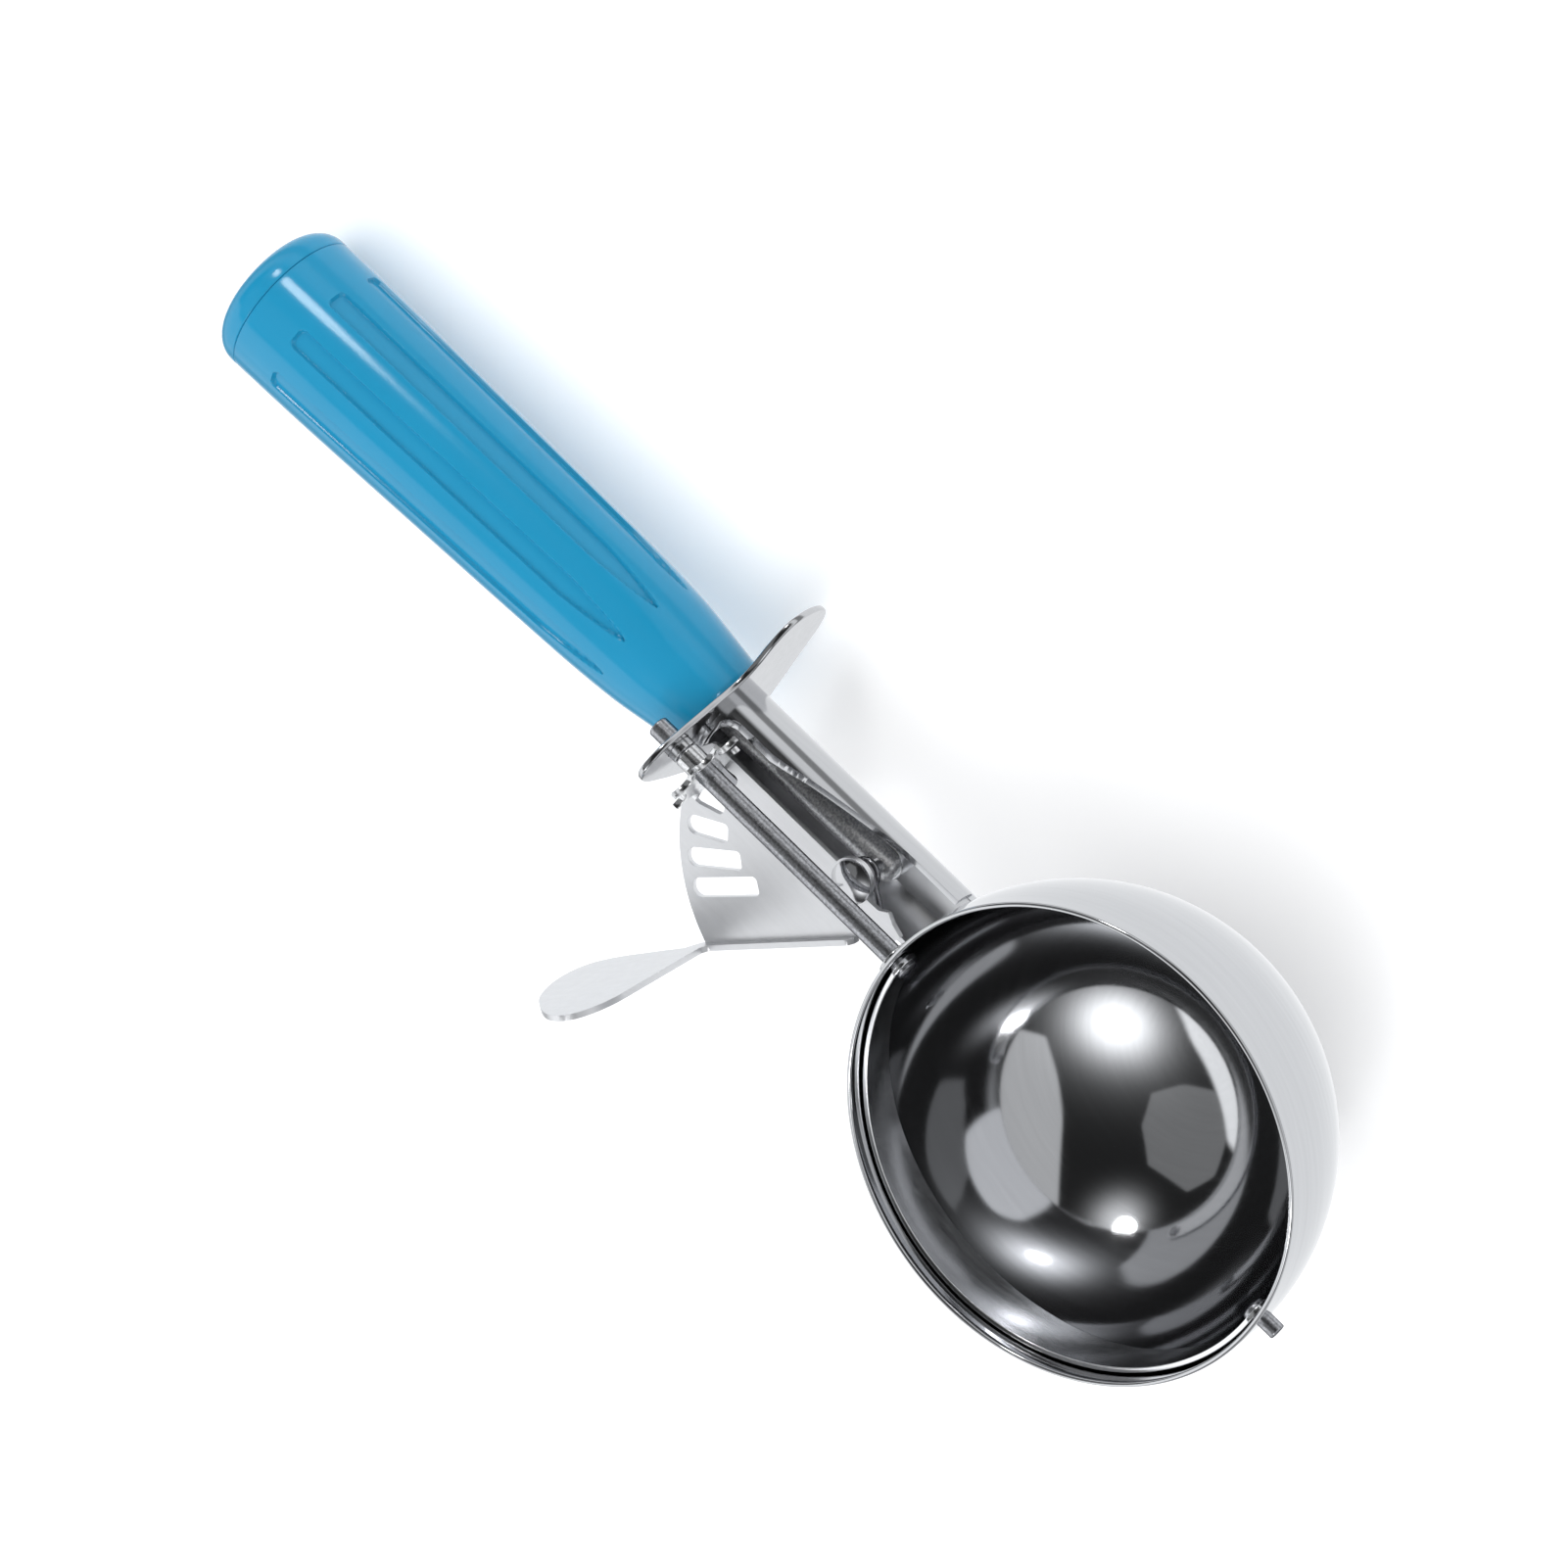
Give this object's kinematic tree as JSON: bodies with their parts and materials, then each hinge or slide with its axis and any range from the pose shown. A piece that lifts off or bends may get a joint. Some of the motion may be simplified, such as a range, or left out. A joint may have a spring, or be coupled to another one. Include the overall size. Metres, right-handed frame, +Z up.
{
  "type": "ice cream scoop",
  "caption": "Thumb-lever ice cream disher: half-round steel bowl with a sweeping scraper blade, geared blade shaft, spring-return side lever and a fluted blue handle.",
  "frame": {"origin": "middle of the footprint, on the surface the scoop lies on", "axes": "+X from the bowl to the handle's end, +Y to the thumb lever's side, +Z up out of the bowl's mouth; the bowl's bottom and the handle's end both touch z = 0"},
  "size_m": [0.2572, 0.092, 0.0667],
  "materials": {
    "bowl_steel": "polished stainless steel, fine circular polishing lines inside",
    "blade_steel": "thin stainless strip, lightly brushed",
    "sheet_steel": "stamped stainless sheet, satin with polished edges",
    "rod_steel": "drawn rod, slightly rough",
    "gear_steel": "stamped and tumbled",
    "rivet_steel": "smooth headed rivet",
    "bush_steel": "turned",
    "spring_steel": "drawn wire",
    "handle_blue": "glossy moulded plastic, sky blue",
    "nut_steel": "zinc plated, hidden under the cap"
  },
  "bodies": {
    "root": {"bowl": "bowl_steel", "lever_rivet": "rivet_steel", "return_spring": "spring_steel", "shank": "sheet_steel", "tang_rod": "rod_steel", "tang_saddle": "rod_steel", "guard_plate": "sheet_steel", "guard_bush": "bush_steel", "bowl_bush": "bush_steel", "handle_grip": "handle_blue", "handle_end_cap": "handle_blue", "tang_washer": "nut_steel", "tang_nut": "nut_steel"},
    "lever": {"thumb_lever": "sheet_steel", "lever_bush": "bush_steel"},
    "blade": {"blade_shaft": "rod_steel", "blade_far_pin": "rod_steel", "pinion": "gear_steel", "pinion_hub": "gear_steel", "scraper_blade": "blade_steel"}
  },
  "joints": [
    {"name": "lever_swing", "type": "hinge", "parent": "root", "child": "lever", "pos_m": [-0.02445, -0.00293, 0.03156], "axis": [-0.0764, 0, -0.9971], "range_deg": [0, 37.5], "stiffness_Nm_per_rad": 0.4, "springref_deg": -21.49},
    {"name": "blade_turn", "type": "hinge", "parent": "root", "child": "blade", "pos_m": [-0.08274, -0.00293, 0.0431], "axis": [-0.9971, 0, 0.0764], "range_deg": [0, 160.72]}
  ],
  "couplings": [
    {"joint": "blade_turn", "follows": "lever_swing", "ratio": 4.2857}
  ]
}
